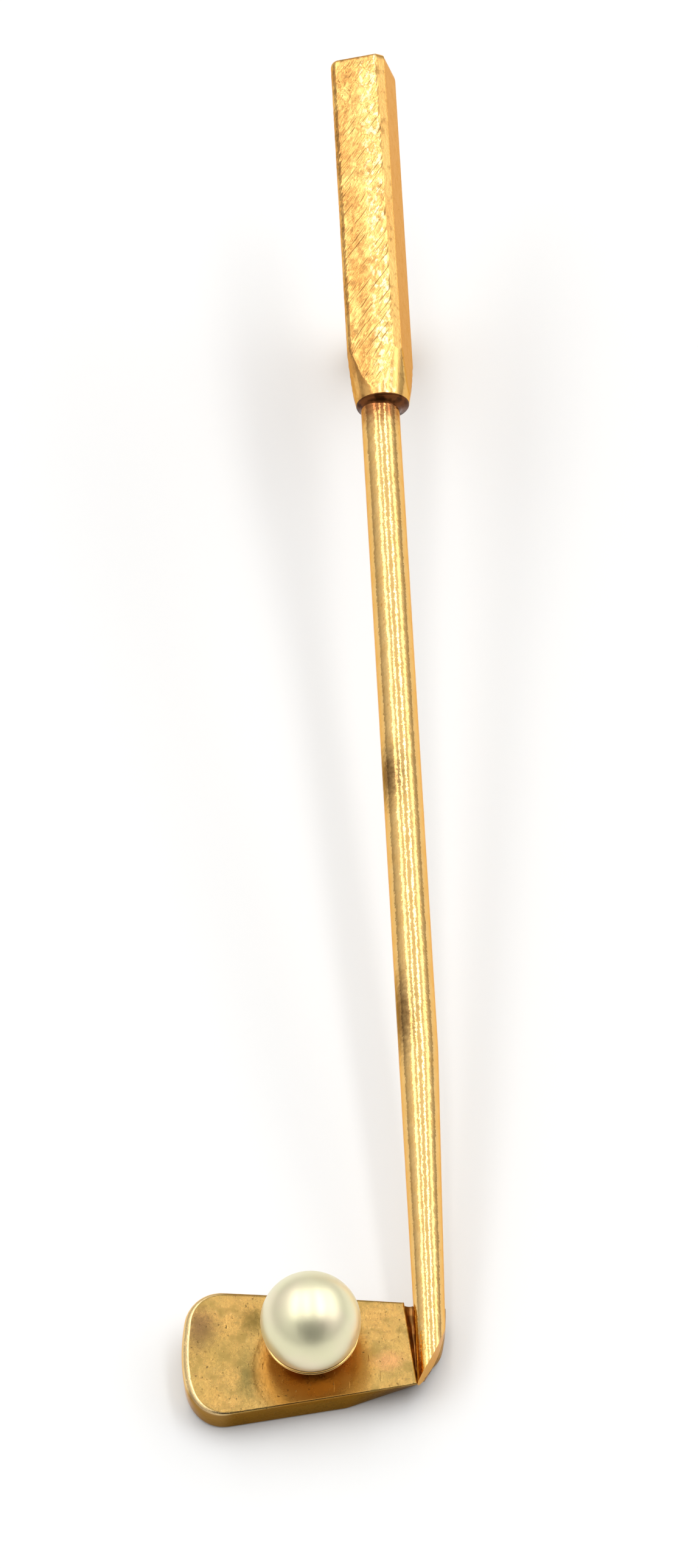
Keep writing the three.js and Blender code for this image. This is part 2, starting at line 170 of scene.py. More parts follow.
def strokes(x, y, angle, spacing, length, seed):
    """Engraved strokes: noise stretched along one direction, 0 between them and 1 in them."""
    along = x * math.cos(angle) + y * math.sin(angle)
    across = -x * math.sin(angle) + y * math.cos(angle)
    value = lattice_noise(across / spacing, along / length, seed)
    return np.clip((value - 0.45) / 0.4, 0, 1)


# ------------------------------------------------------------------ mesh helpers


def face_out(mesh):
    bm = bmesh.new()
    bm.from_mesh(mesh)
    bmesh.ops.recalc_face_normals(bm, faces=bm.faces)
    bm.to_mesh(mesh)
    bm.free()


def finish_mesh(name, mesh, material, crease):
    """Faces out, smooth shading with sharp edges, and the club's own coordinates kept."""
    face_out(mesh)
    mesh.shade_smooth()
    mesh.set_sharp_from_angle(angle=math.radians(crease))
    co = np.zeros(len(mesh.vertices) * 3)
    mesh.vertices.foreach_get("co", co)
    club = moved(co.reshape(-1, 3), CLUB_INVERSE)
    place = mesh.attributes.new("club", "FLOAT_VECTOR", "POINT")
    place.data.foreach_set("vector", club.ravel())
    mesh.materials.clear()
    mesh.materials.append(material)
    obj = bpy.data.objects.new(name, mesh)
    bpy.context.scene.collection.objects.link(obj)
    return obj


def raw_mesh(name, points, faces):
    mesh = bpy.data.meshes.new(name)
    mesh.from_pydata(moved(points, CLUB_NP).tolist(), [], [list(f) for f in faces])
    mesh.update()
    face_out(mesh)
    return mesh


def boolean(mesh, other, operation):
    """mesh joined with, or cut by, another mesh."""
    first = bpy.data.objects.new("first", mesh)
    second = bpy.data.objects.new("second", other)
    for obj in (first, second):
        bpy.context.scene.collection.objects.link(obj)
    modifier = first.modifiers.new("boolean", "BOOLEAN")
    modifier.object = second
    modifier.operation = operation
    modifier.solver = "EXACT"
    graph = bpy.context.evaluated_depsgraph_get()
    made = bpy.data.meshes.new_from_object(first.evaluated_get(graph))
    for obj in (first, second):
        bpy.data.objects.remove(obj)
    return made


def place(name, mesh, material, body, node, slot, crease=35):
    obj = finish_mesh(name, mesh, material, crease)
    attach(obj, body)
    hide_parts(node)
    return obj


def loft(rings, cap_first=True, cap_last=True):
    """Closed rings of points, one after another, joined by quads."""
    count = len(rings[0])
    points = np.concatenate(rings)
    faces = []
    for i in range(len(rings) - 1):
        for k in range(count):
            a, b = i * count + k, i * count + (k + 1) % count
            faces.append((a, b, b + count, a + count))
    if cap_first:
        faces.append(tuple(range(count))[::-1])
    if cap_last:
        faces.append(tuple(range((len(rings) - 1) * count, len(rings) * count)))
    return points, faces


def softened(profile, radius, steps=4):
    """The profile with each corner that is off the axis replaced by a small arc."""
    closed = profile[0] == profile[-1]
    corners = [np.array(p, float) for p in (profile[:-1] if closed else profile)]
    count = len(corners)
    out = []
    for i, corner in enumerate(corners):
        if not closed and i in (0, count - 1):
            out.append(corner)
            continue
        before, after = corners[i - 1] - corner, corners[(i + 1) % count] - corner
        reach = min(radius, 0.4 * np.linalg.norm(before), 0.4 * np.linalg.norm(after))
        start = corner + before / np.linalg.norm(before) * reach
        end = corner + after / np.linalg.norm(after) * reach
        for k in range(steps + 1):
            t = k / steps
            out.append((1 - t) ** 2 * start + 2 * t * (1 - t) * corner + t * t * end)
    if closed:
        out.append(out[0])
    return [tuple(p) for p in out]


def lathe(profile, centre, outward, segments=96):
    """[radius, depth] pairs turned about an axis along the club's Z through centre."""
    closed = np.allclose(profile[0], profile[-1])
    pairs = profile[:-1] if closed else profile
    angles = np.linspace(0, 2 * math.pi, segments, endpoint=False)
    points, starts, faces = [], [], []
    for radius, depth in pairs:
        starts.append((len(points), radius > 1e-6))
        turn = angles if radius > 1e-6 else angles[:1]
        for angle in turn:
            x = centre[0] + radius * math.cos(angle)
            y = centre[1] + radius * math.sin(angle)
            points.append((x, y, centre[2] + outward * depth))
    count = len(pairs)
    for i in range(count if closed else count - 1):
        (a, wide_a), (b, wide_b) = starts[i], starts[(i + 1) % count]
        for k in range(segments):
            n = (k + 1) % segments
            if wide_a and wide_b:
                faces.append((a + k, a + n, b + n, b + k))
            elif wide_a:
                faces.append((a + k, a + n, b))
            elif wide_b:
                faces.append((a, b + n, b + k))
    return np.array(points), faces


def bezier(p0, p1, p2, p3, steps):
    t = np.linspace(0, 1, steps, endpoint=False)[:, None]
    p0, p1, p2, p3 = (np.array(p, float) for p in (p0, p1, p2, p3))
    return (1 - t) ** 3 * p0 + 3 * t * (1 - t) ** 2 * p1 + 3 * t * t * (1 - t) * p2 + t**3 * p3


def conic(p0, p1, p2, steps):
    t = np.linspace(0, 1, steps, endpoint=False)[:, None]
    p0, p1, p2 = (np.array(p, float) for p in (p0, p1, p2))
    return (1 - t) ** 2 * p0 + 2 * t * (1 - t) * p1 + t * t * p2


def line(p0, p1, steps):
    t = np.linspace(0, 1, steps, endpoint=False)[:, None]
    return (1 - t) * np.array(p0, float) + t * np.array(p1, float)


# ------------------------------------------------------------------ materials


class Shader:
    """A Principled material whose nodes are added one call at a time."""

    def __init__(self, name, **values):
        self.material = bpy.data.materials.new(name)
        self.material.use_nodes = True
        self.nodes = self.material.node_tree.nodes
        self.links = self.material.node_tree.links
        self.surface = self.nodes["Principled BSDF"]
        self.set(self.surface, values)

    def set(self, node, values):
        for key, value in values.items():
            socket = node.inputs[int(key[1:])] if key[1:].isdigit() else node.inputs[key.replace("_", " ")]
            if isinstance(value, bpy.types.NodeSocket):
                self.links.new(value, socket)
            else:
                socket.default_value = value

    def add(self, kind, options=(), **values):
        node = self.nodes.new("ShaderNode" + kind)
        for key, value in dict(options).items():
            setattr(node, key, value)
        self.set(node, values)
        return node

    def club(self, scale=(1, 1, 1), shift=(0, 0, 0)):
        """The club's own coordinates in millimetres, scaled and shifted."""
        where = self.add("Attribute", {"attribute_name": "club"}).outputs["Vector"]
        mapping = self.add("Mapping", Vector=where, Scale=scale, Location=shift)
        return mapping.outputs["Vector"]

    def along(self, direction):
        """How far a point lies along a direction of the club, in millimetres."""
        node = self.add("VectorMath", {"operation": "DOT_PRODUCT"}, _0=self.club(), _1=direction)
        return node.outputs["Value"]

    def noise(self, vector, scale, detail=3.0, roughness=0.55, distortion=0.0):
        values = {"Scale": scale, "Detail": detail, "Roughness": roughness, "Distortion": distortion}
        node = self.add("TexNoise", Vector=vector, **values)
        return node.outputs["Fac"]

    def ramp(self, value, low, high, start=0.0, end=1.0):
        """value from low..high mapped to start..end, smoothly and clamped."""
        limits = {"From_Min": low, "From_Max": high, "To_Min": start, "To_Max": end}
        node = self.add("MapRange", {"interpolation_type": "SMOOTHSTEP"}, Value=value, **limits)
        return node.outputs["Result"]

    def math(self, operation, a, b=0.0):
        node = self.add("Math", {"operation": operation}, _0=a, _1=b)
        return node.outputs["Value"]

    def mix(self, share, first, second):
        node = self.add("Mix", {"data_type": "RGBA"}, _0=share, _6=first, _7=second)
        return node.outputs[2]

    def bump(self, height, strength, distance, normal=None):
        node = self.add("Bump", Height=height, Strength=strength, Distance=distance)
        if normal is not None:
            self.links.new(normal, node.inputs["Normal"])
        return node.outputs["Normal"]


GOLD = (0.84, 0.51, 0.17, 1)
PALE_GOLD = (0.87, 0.56, 0.21, 1)
DEEP_GOLD = (0.66, 0.33, 0.08, 1)
EDGE_GOLD = (1.0, 0.72, 0.42, 1)  # what the golds reflect at a glancing angle


def spot(shader, centre, reach, ragged, spread=1.6):
    """1 at a place on the club, falling to 0 at about reach millimetres, ragged."""
    scale = tuple(1 / r for r in reach)
    where = shader.club(scale, tuple(-c / r for c, r in zip(centre, reach)))
    length = shader.add("VectorMath", {"operation": "LENGTH"}, _0=where)
    distance = length.outputs["Value"]
    uneven = shader.math("MULTIPLY", ragged, spread)
    soft = 0.12 + 0.4 * spread
    middle = 0.85 + spread / 2
    return shader.ramp(shader.math("ADD", distance, uneven), middle + soft, middle - soft)


def stained(shader, colour, stains, ragged):
    """The colour with stains over it: (place, reach, depth, colour) each."""
    for centre, reach, depth, tint in stains:
        share = shader.math("MULTIPLY", spot(shader, centre, reach, ragged), depth)
        colour = shader.mix(share, colour, tint)
    return colour


def polished_gold(name="polished_gold", stains=(), beading=0.000004):
    shader = Shader(name, Metallic=1.0, Specular_Tint=EDGE_GOLD)
    fine = shader.noise(shader.club(), 1.7, 4)
    colour = shader.mix(shader.ramp(fine, 0.35, 0.7), PALE_GOLD, GOLD)
    ragged = shader.noise(shader.club(), 5, 4, 0.65)
    specks = shader.noise(shader.club((1, 0.5, 1)), 7, 2, 0.5)
    colour = shader.mix(shader.ramp(specks, 0.7, 0.76, 0, 0.6), colour, DEEP_GOLD)
    colour = stained(shader, colour, stains, ragged)
    wear = shader.noise(shader.club((6, 0.6, 6)), 3.0, 3)
    rough = shader.ramp(wear, 0.3, 0.75, 0.05, 0.13)
    beads = shader.noise(shader.club((2.2, 3.4, 2.2)), 1.0, 3, 0.6)
    scratch = shader.noise(shader.club((16, 1.6, 16)), 1.0, 2)
    normal = shader.bump(beads, 0.5, beading)
    normal = shader.bump(scratch, 0.25, 0.000006, normal)
    shader.set(shader.surface, {"Base_Color": colour, "Roughness": rough, "Normal": normal})
    return shader.material


HEAD_STAINS = (
    ((-8.15, 2.55, 0), (0.55, 0.75, 0.5), 0.85, (0.13, 0.065, 0.035, 1)),
    ((-6.62, 0.7, 0), (0.36, 0.8, 0.5), 0.85, (0.17, 0.13, 0.04, 1)),
    ((-6.3, 2.8, 0), (0.45, 0.5, 0.5), 0.8, (0.13, 0.085, 0.02, 1)),
    ((-7.5, 1.9, 0), (1.1, 1.0, 0.5), 0.45, (0.3, 0.2, 0.055, 1)),
    ((-7.6, 0.2, 0), (0.9, 0.4, 0.5), 0.3, (0.3, 0.2, 0.06, 1)),
    ((-1.7, 1.0, 0), (0.5, 0.35, 0.5), 0.5, (0.62, 0.28, 0.12, 1)),
)


def satin_gold():
    """The head: gold toned brown and olive, a darker orange disc round the cup painted as the pearl's
    reflection, painted shade on the sole's wall, and its toe edge burnished, with a painted highlight.
    """
    shader = Shader("satin_gold", Metallic=1.0, Specular_Tint=EDGE_GOLD)
    broad = shader.noise(shader.club(), 0.55, 3)
    mottled = shader.noise(shader.club(shift=(7, 3, 0)), 1.5, 6, 0.62)
    grain = shader.noise(shader.club(shift=(1, 5, 0)), 6, 5, 0.65)
    colour = shader.mix(shader.ramp(broad, 0.35, 0.65), (0.46, 0.27, 0.08, 1), (0.39, 0.25, 0.075, 1))
    colour = shader.mix(shader.ramp(mottled, 0.45, 0.68, 0, 0.7), colour, (0.24, 0.165, 0.045, 1))
    colour = shader.mix(shader.ramp(grain, 0.52, 0.72, 0, 0.55), colour, (0.24, 0.13, 0.05, 1))
    colour = shader.mix(shader.ramp(grain, 0.42, 0.3, 0, 0.45), colour, (0.62, 0.41, 0.16, 1))
    ragged = shader.noise(shader.club(shift=(3, 0, 0)), 3.5, 5, 0.7)
    colour = stained(shader, colour, HEAD_STAINS, ragged)
    # Painted reflection: a darker orange disc round the cup stands for the pearl's reflection in the face.
    reflection_disc_reach = PEARL_REFLECTION_DISC_R * 1.12
    zone = spot(shader, (*PEARL_REFLECTION_DISC, 0), (reflection_disc_reach, reflection_disc_reach, 0.5), grain, 0.12)
    colour = shader.mix(zone, colour, (0.36, 0.175, 0.036, 1))
    pits = shader.noise(shader.club(shift=(11, 0, 0)), 5.5, 2, 0.5)
    colour = shader.mix(shader.ramp(pits, 0.68, 0.73, 0, 0.75), colour, (0.12, 0.07, 0.02, 1))
    height = shader.math("MULTIPLY", grain, shader.ramp(zone, 0, 1, 1, 0.25))
    ticks = shader.noise(shader.club((7, 1.1, 1), (0, 2, 0)), 1.0, 2)
    flecks = shader.noise(shader.club((1.6, 1, 1), (5, 2, 0)), 5, 2)
    normal = shader.bump(height, 0.5, 0.00003)
    normal = shader.bump(shader.ramp(ticks, 0.66, 0.74), 0.7, 0.00001, normal)
    normal = shader.bump(shader.ramp(flecks, 0.68, 0.76), 0.8, 0.00002, normal)
    depth = shader.along((0, 0, -1))
    above_sole = shader.math("SUBTRACT", shader.along((-SOLE_SLOPE, 1, 0)), SOLE_AT_SHAFT)
    # Painted shade: the sole's wall is darkened near its foot, standing for the shaded floor that it
    # reflects under the head.
    wall = shader.math("MULTIPLY", shader.ramp(depth, 0.03, 0.14), shader.ramp(above_sole, 1.4, 0.9))
    # The toe's rounded edge: lower roughness for its real burnish, and a lighter colour that is a painted
    # highlight.
    toe = shader.ramp(shader.along((1, 0, 0)), -7.1, -7.7)
    edge = shader.math("MULTIPLY", shader.ramp(depth, 0.009, 0.016), toe)
    colour = shader.mix(edge, colour, (0.86, 0.62, 0.3, 1))
    colour = shader.mix(shader.math("MULTIPLY", wall, 0.8), colour, (0.19, 0.088, 0.02, 1))
    rough = shader.ramp(mottled, 0.3, 0.7, 0.2, 0.32)
    rough = shader.math("MULTIPLY", rough, shader.math("SUBTRACT", 1.0, shader.math("MULTIPLY", edge, 0.75)))
    shader.set(shader.surface, {"Base_Color": colour, "Roughness": rough, "Normal": normal})
    return shader.material


def brushed_gold():
    """The grip: gold with orange patches over the left of its front and brown dirt, paler flecks on the
    right painted as highlights, and its side face painted darker as shade.
    """
    shader = Shader("brushed_gold", Metallic=1.0, Specular_Tint=EDGE_GOLD)
    tone = shader.noise(shader.club((1, 0.4, 1)), 1.1, 3)
    colour = shader.mix(shader.ramp(tone, 0.35, 0.65), (0.82, 0.5, 0.16, 1), (0.8, 0.43, 0.13, 1))
    across = shader.along((math.cos(GRIP_TWIST), 0, math.sin(GRIP_TWIST)))
    across = shader.math("SUBTRACT", across, GRIP_OFFSET * math.cos(GRIP_TWIST))
    patch = shader.noise(shader.club((1, 0.55, 1), (2, 6, 0)), 1.9, 4, 0.6)
    left = shader.math("MULTIPLY", shader.ramp(across, 0.35, -0.5), shader.ramp(patch, 0.38, 0.56))
    colour = shader.mix(shader.math("MULTIPLY", left, 0.8), colour, (0.56, 0.26, 0.07, 1))
    dirt = shader.noise(shader.club((1.2, 0.8, 1.2), (4, 0, 0)), 3.0, 5, 0.65)
    colour = shader.mix(shader.ramp(dirt, 0.5, 0.7, 0, 0.7), colour, (0.33, 0.17, 0.05, 1))
    # Painted highlight: paler flecks over the right of the front face.
    fleck = shader.noise(shader.club((1.3, 0.8, 1.3), (9, 1, 0)), 4.5, 3, 0.6)
    right = shader.math("MULTIPLY", shader.ramp(across, -0.1, 0.35), shader.ramp(fleck, 0.5, 0.62))
    right = shader.math("MULTIPLY", right, shader.ramp(across, 0.8, 0.68))
    colour = shader.mix(right, colour, (0.94, 0.72, 0.38, 1))
    # Painted shade: the grip's side face is coloured a darker, deeper orange for how it catches light at a
    # glancing angle.
    side = shader.ramp(across, GRIP_HALF - 0.03, GRIP_HALF - 0.005)
    colour = shader.mix(side, colour, (0.66, 0.34, 0.08, 1))
    hatch = shader.noise(shader.club((9, 4, 1)), 1.5, 4)
    normal = shader.bump(hatch, 0.4, 0.00001)
    rough = shader.ramp(dirt, 0.3, 0.7, 0.15, 0.28)
    shader.set(shader.surface, {"Base_Color": colour, "Roughness": rough, "Normal": normal})
    return shader.material


def cooled_solder(name, dark, light, unevenness):
    shader = Shader(name, Metallic=1.0)
    grain = shader.noise(shader.club(), 3, 3, 0.5)
    colour = shader.mix(shader.ramp(grain, 0.38, 0.62), dark, light)
    normal = shader.bump(grain, 0.5, unevenness)
    rough = shader.ramp(grain, 0.3, 0.7, 0.42, 0.3)
    shader.set(shader.surface, {"Base_Color": colour, "Roughness": rough, "Normal": normal})
    return shader.material


def pearl_nacre():
    """Cream nacre: much of its look is a soft wide reflection under a clear lustre."""
    shader = Shader("pearl_nacre", Metallic=0.8, IOR=1.6, Coat_Weight=0.3, Coat_Roughness=0.36)
    cloud = shader.noise(shader.club(), 0.6, 2)
    colour = shader.mix(shader.ramp(cloud, 0.35, 0.65), (0.84, 0.8, 0.53, 1), (0.88, 0.79, 0.56, 1))
    rough = shader.ramp(shader.noise(shader.club(), 1.5, 2), 0.3, 0.7, 0.35, 0.38)
    shader.set(shader.surface, {"Base_Color": colour, "Roughness": rough})
    return shader.material


def plain_steel():
    shader = Shader("spring_steel", Metallic=1.0)
    where = shader.add("TexCoord").outputs["Object"]
    grain = shader.noise(where, 4000, 3)
    colour = shader.mix(shader.ramp(grain, 0.3, 0.7), (0.5, 0.5, 0.5, 1), (0.62, 0.62, 0.63, 1))
    rough = shader.ramp(grain, 0.3, 0.7, 0.15, 0.3)
    shader.set(shader.surface, {"Base_Color": colour, "Roughness": rough})
    return shader.material


def inner_gold():
    """For the clutch's inner CAD pieces, which have no club coordinates."""
    shader = Shader("inner_gold", Metallic=1.0)
    where = shader.add("TexCoord").outputs["Object"]
    grain = shader.noise(where, 2500, 3)
    colour = shader.mix(shader.ramp(grain, 0.3, 0.7), GOLD, PALE_GOLD)
    rough = shader.ramp(grain, 0.3, 0.7, 0.15, 0.3)
    shader.set(shader.surface, {"Base_Color": colour, "Roughness": rough})
    return shader.material


SHAFT_STAINS = (
    ((-0.55, 23.6, 0.3), (0.7, 1.1, 0.9), 0.9, (0.2, 0.1, 0.035, 1)),
    ((-0.6, 14.1, 0.3), (0.55, 1.5, 0.9), 0.9, (0.2, 0.1, 0.035, 1)),
    ((0.0, 38.9, 0.4), (1.6, 0.8, 1.6), 0.95, (0.36, 0.12, 0.04, 1)),
)

polished = polished_gold()
shaft_gold = polished_gold("shaft_gold", SHAFT_STAINS, 0.00005)
satin = satin_gold()
brushed = brushed_gold()
solder = cooled_solder("dark_solder", (0.06, 0.02, 0.006, 1), (0.15, 0.05, 0.015, 1), 0.00001)
groove = cooled_solder("brown_solder", (0.2, 0.09, 0.025, 1), (0.4, 0.19, 0.055, 1), 0.00002)
nacre = pearl_nacre()
steel = plain_steel()
inner = inner_gold()

# ------------------------------------------------------------------ head


def sole_y(x):
    return SOLE_AT_SHAFT + SOLE_SLOPE * x


def head_outline():
    """The full outline, anticlockwise from the foot of the step, and each point's edge
    rounding: soft round the toe, crisp along the sole and the step."""
    runs = (
        (line(STEP_SOLE, (-7.3, sole_y(-7.3)), 60), 0.05, 0.07),
        (bezier((-7.3, sole_y(-7.3)), (-8.1, sole_y(-8.1)), (-8.7, -0.2), (-8.84, 0.75), 24), 0.1, 0.3),
        (conic((-8.84, 0.75), (-8.96, 1.7), (-8.76, 2.8), 24), 0.3, 0.3),
        (bezier((-8.76, 2.8), (-8.66, 3.55), (-8.1, 4.02), (-7.4, 3.98), 24), 0.3, 0.16),
        (conic((-7.4, 3.98), (-4.2, 3.62), STEP_TOP, 60), 0.16, 0.1),
        (line(STEP_TOP, STEP_SOLE, 30), 0.09, 0.09),
    )
    points = np.concatenate([run[0] for run in runs])
    radii = np.concatenate([np.linspace(run[1], run[2], len(run[0])) for run in runs])
    smooth = radii.copy()
    for shift in range(-4, 5):
        smooth += np.roll(radii, shift)
    return points, smooth / 10


def outward_normals(points):
    """Unit normals of a closed outline, pointing away from what it encloses."""
    along = np.roll(points, -1, 0) - np.roll(points, 1, 0)
    normal = np.stack([-along[:, 1], along[:, 0]], 1)
    normal /= np.linalg.norm(normal, axis=1)[:, None]
    area = np.sum(points[:, 0] * np.roll(points[:, 1], -1) - np.roll(points[:, 0], -1) * points[:, 1])
    return -normal if area > 0 else normal


def rounded_plate(outline, front_radii, back_radius, front, back, uneven, spacing, zone=False):
    """A plate with rounded and burnished edges. uneven(x, y) is added to the front's height."""
    normal = outward_normals(outline)
    rings = []
    for angle in np.radians((0, 30, 60, 90)):
        inset = back_radius * (1 - math.sin(angle))
        flat = outline - normal * inset
        height = np.full(len(flat), back + back_radius * (1 - math.cos(angle)))
        rings.append(np.column_stack([flat, height]))
    bevel = front_radii * EDGE_BEVEL
    drop = bevel * math.tan(EDGE_TILT)
    steepest = math.pi / 2 - EDGE_TILT
    steps = [
        (front_radii * (1 - math.cos(angle)), drop + front_radii * (math.sin(steepest) - math.sin(angle)))
        for angle in np.linspace(0, steepest, 7)
    ]
    rounded = steps[-1][0]
    steps += [(rounded + bevel * share, drop * (1 - share)) for share in (0.15, 0.85, 1)]
    steps.append((rounded + bevel + 0.01, drop * 0))
    for inset, below in steps:
        rings.append(np.column_stack([outline - normal * inset[:, None], front - below]))
    points, faces = loft(rings, cap_last=False)
    count = len(outline)
    edge = rings[-1][:, :2]
    low, high = edge.min(0), edge.max(0)
    grid = [
        Vector((x, y))
        for x in np.arange(low[0] + spacing / 2, high[0], spacing)
        for y in np.arange(low[1] + spacing / 2, high[1], spacing)
    ]
    if zone:
        grid = [p for p in grid if abs(math.dist(p, PEARL_REFLECTION_DISC) - PEARL_REFLECTION_DISC_R) > ZONE_EDGE]
    for share in (-0.5, -0.17, 0.17, 0.5) if zone else ():
        radius = PEARL_REFLECTION_DISC_R + share * ZONE_EDGE
        for turn in np.linspace(0, 2 * math.pi, 320, endpoint=False):
            x = PEARL_REFLECTION_DISC[0] + radius * math.cos(turn)
            y = PEARL_REFLECTION_DISC[1] + radius * math.sin(turn)
            if sole_y(x) + 0.2 < y < 3.3:
                grid.append(Vector((x, y)))
    loop = [Vector(p) for p in edge]
    borders = [(i, (i + 1) % count) for i in range(count)]
    verts, _, tris, origin, _, _ = delaunay_2d_cdt(loop + grid, borders, [], 1, 1e-6)
    first = len(rings) * count - count
    index, added = {}, []
    for i, vert in enumerate(verts):
        source = [o for o in origin[i] if o < count]
        if source:
            index[i] = first + source[0]
        else:
            gap = min(1.0, np.min(np.hypot(*(edge - np.array(vert)).T)) / 0.4)
            index[i] = len(points) + len(added)
            added.append((vert[0], vert[1], front + gap * uneven(vert[0], vert[1])))
    faces += [tuple(index[k] for k in tri) for tri in tris]
    return np.vstack([points, np.array(added)]), faces


def face_waves(x, y):
    """Hand-finished flatness: a few microns of waviness, and the cup's zone set down."""
    from_zone = math.hypot(x - PEARL_REFLECTION_DISC[0], y - PEARL_REFLECTION_DISC[1]) - PEARL_REFLECTION_DISC_R
    toe_side = min(1.0, max(0.0, 0.5 - (x - PEARL_REFLECTION_DISC[0]) / (1.4 * PEARL_REFLECTION_DISC_R)))
    sunk = min(1.0, max(0.0, 0.5 - from_zone / ZONE_EDGE)) * ZONE_DEPTH * toe_side
    wide = lattice_noise(np.array(x / 1.7 + 9), np.array(y / 1.5 + 4), 3) - 0.5
    close = lattice_noise(np.array(x / 0.6 + 20), np.array(y / 0.55 + 12), 4) - 0.5
    return float(0.014 * wide + 0.004 * close - sunk)


def flat(x, y):
    return 0.0


def heel_outline():
    return np.concatenate([
        line(STEP_SOLE, STEP_TOP, 30),
        line(STEP_TOP, (0.42, 3.12), 14),
        conic((0.42, 3.12), (0.36, 2.0), (0.12, 1.4), 20),
        conic((0.12, 1.4), (-0.12, 0.85), STEP_SOLE, 24),
    ])


def smooth_share(value, low, high):
    share = np.clip((value - low) / (high - low), 0, 1)
    return share * share * (3 - 2 * share)


def sole_lifted(points):
    """Behind the face, the sole rises towards the heel, so its wall narrows to nothing."""
    x, y, z = points.T
    along = np.clip((x - SOLE_LIFT_START) / (STEP_SOLE[0] - SOLE_LIFT_START), 0, 1)
    share = along * np.clip(-z / HEAD_THICKNESS, 0, 1)
    low_down = 1 - smooth_share(y - sole_y(x), 0, SOLE_LIFT_HEIGHT)
    return np.column_stack([x, y + SOLE_LIFT * share * low_down, z])


def make_head():
    outline, radii = head_outline()
    plate = rounded_plate(outline, radii, 0.12, 0.0, -HEAD_THICKNESS, face_waves, 0.1, True)
    tab_shape = heel_outline()
    tab_shape[:30, 0] -= 0.25
    top = HEEL_TAB - HEAD_THICKNESS
    tab = rounded_plate(tab_shape, np.full(len(tab_shape), 0.04), 0.06, top, -HEAD_THICKNESS, flat, 0.3)
    plate_mesh = raw_mesh("plate", sole_lifted(plate[0]), plate[1])
    mesh = boolean(plate_mesh, raw_mesh("tab", sole_lifted(tab[0]), tab[1]), "UNION")
    place("head", mesh, satin, "tack", "head_blade", "satin_gold", 28)


make_head()

# ------------------------------------------------------------------ shaft


def shaft_centre(y):
    below = np.maximum(0, TAPER_Y - y) / (TAPER_Y - SHAFT_BOTTOM)
    return -(SHAFT_R - SHAFT_HEEL_R) * below, SHAFT_R - (SHAFT_R - SHAFT_HEEL_R) * below


def heel_cutter():
    """Everything outside the curved end of the heel."""
    edge = np.concatenate([
        line((-3.0, -0.55), STEP_SOLE, 8),
        conic(STEP_SOLE, (-0.12, 0.85), (0.12, 1.4), 24),
        conic((0.12, 1.4), (0.36, 2.0), (0.8, 3.4), 20),
        np.array([(3.0, 3.4), (3.0, -3.0), (-3.0, -3.0)]),
    ])
    cutter = [np.column_stack([edge, np.full(len(edge), z)]) for z in (-2.0, 2.0)]
    return raw_mesh("cutter", *loft(cutter))


def make_shaft():
    """Round wire with the slight unevenness of hand finishing, cut off along the heel."""
    angles = np.linspace(0, 2 * math.pi, 64, endpoint=False)
    rings = []
    for y in np.linspace(SHAFT_BOTTOM, GRIP_START + TENON, 300):
        centre, radius = shaft_centre(y)
        uneven = 1 + 0.006 * (lattice_noise(np.cos(angles) * 1.3 + 9, y * 0.9 + np.sin(angles), 5) - 0.5)
        x = centre + radius * uneven * np.cos(angles)
        z = radius * uneven * np.sin(angles)
        rings.append(np.column_stack([x, np.full(len(angles), y), z]))
    mesh = boolean(raw_mesh("wire", *loft(rings)), heel_cutter(), "DIFFERENCE")
    place("shaft_wire", mesh, shaft_gold, "tack", "shaft", "polished_gold", 40)


make_shaft()


def make_heel_solder():
    """A hollow run of solder between the step and the shaft, higher against both."""
    rings = []
    floor = HEEL_TAB - HEAD_THICKNESS
    top, length = 3.14, 2.75
    for t in np.linspace(0, 1, 60):
        y = top - length * t
        share = (STEP_TOP[1] - y) / (STEP_TOP[1] - STEP_SOLE[1])
        wall = STEP_TOP[0] + (STEP_SOLE[0] - STEP_TOP[0]) * share - 0.01
        centre, radius = shaft_centre(y)
        bumpy = 0.05 * (lattice_noise(np.array(y * 3.0), np.array(0.5), 6) - 0.5)
        touch = math.radians(205 + 12 * float(bumpy) * 10)
        side = np.array([centre + radius * math.cos(touch), radius * math.sin(touch)])
        start = np.array([wall, -0.2 + float(bumpy)])
        dip = np.array([(wall + side[0]) / 2, min(start[1], side[1]) - 0.2])
        section = [start]
        for k in range(1, 8):
            s = k / 8
            section.append((1 - s) ** 2 * start + 2 * s * (1 - s) * dip + s * s * side)
        section += [side, np.array([centre, -radius]), np.array([centre, floor]), np.array([wall, floor])]
        section = np.array(section)
        rings.append(np.column_stack([section[:, 0], np.full(len(section), y), section[:, 1]]))
    mesh = boolean(raw_mesh("solder_run", *loft(rings)), heel_cutter(), "DIFFERENCE")
    place("heel_solder_run", mesh, groove, "tack", "heel_solder", "dark_solder", 50)


make_heel_solder()

# ------------------------------------------------------------------ grip


# How many points each face of the grip's section has, from the front face on round, and
# which of the faces are engraved. The worn one is the chamfer at the front left.
FACE_POINTS = (92, 18, 14, 6, 20, 6, 14, 28)
ENGRAVED_FACES = (0, 7)
WORN_FACE = 7
GRIP_STATIONS = 620


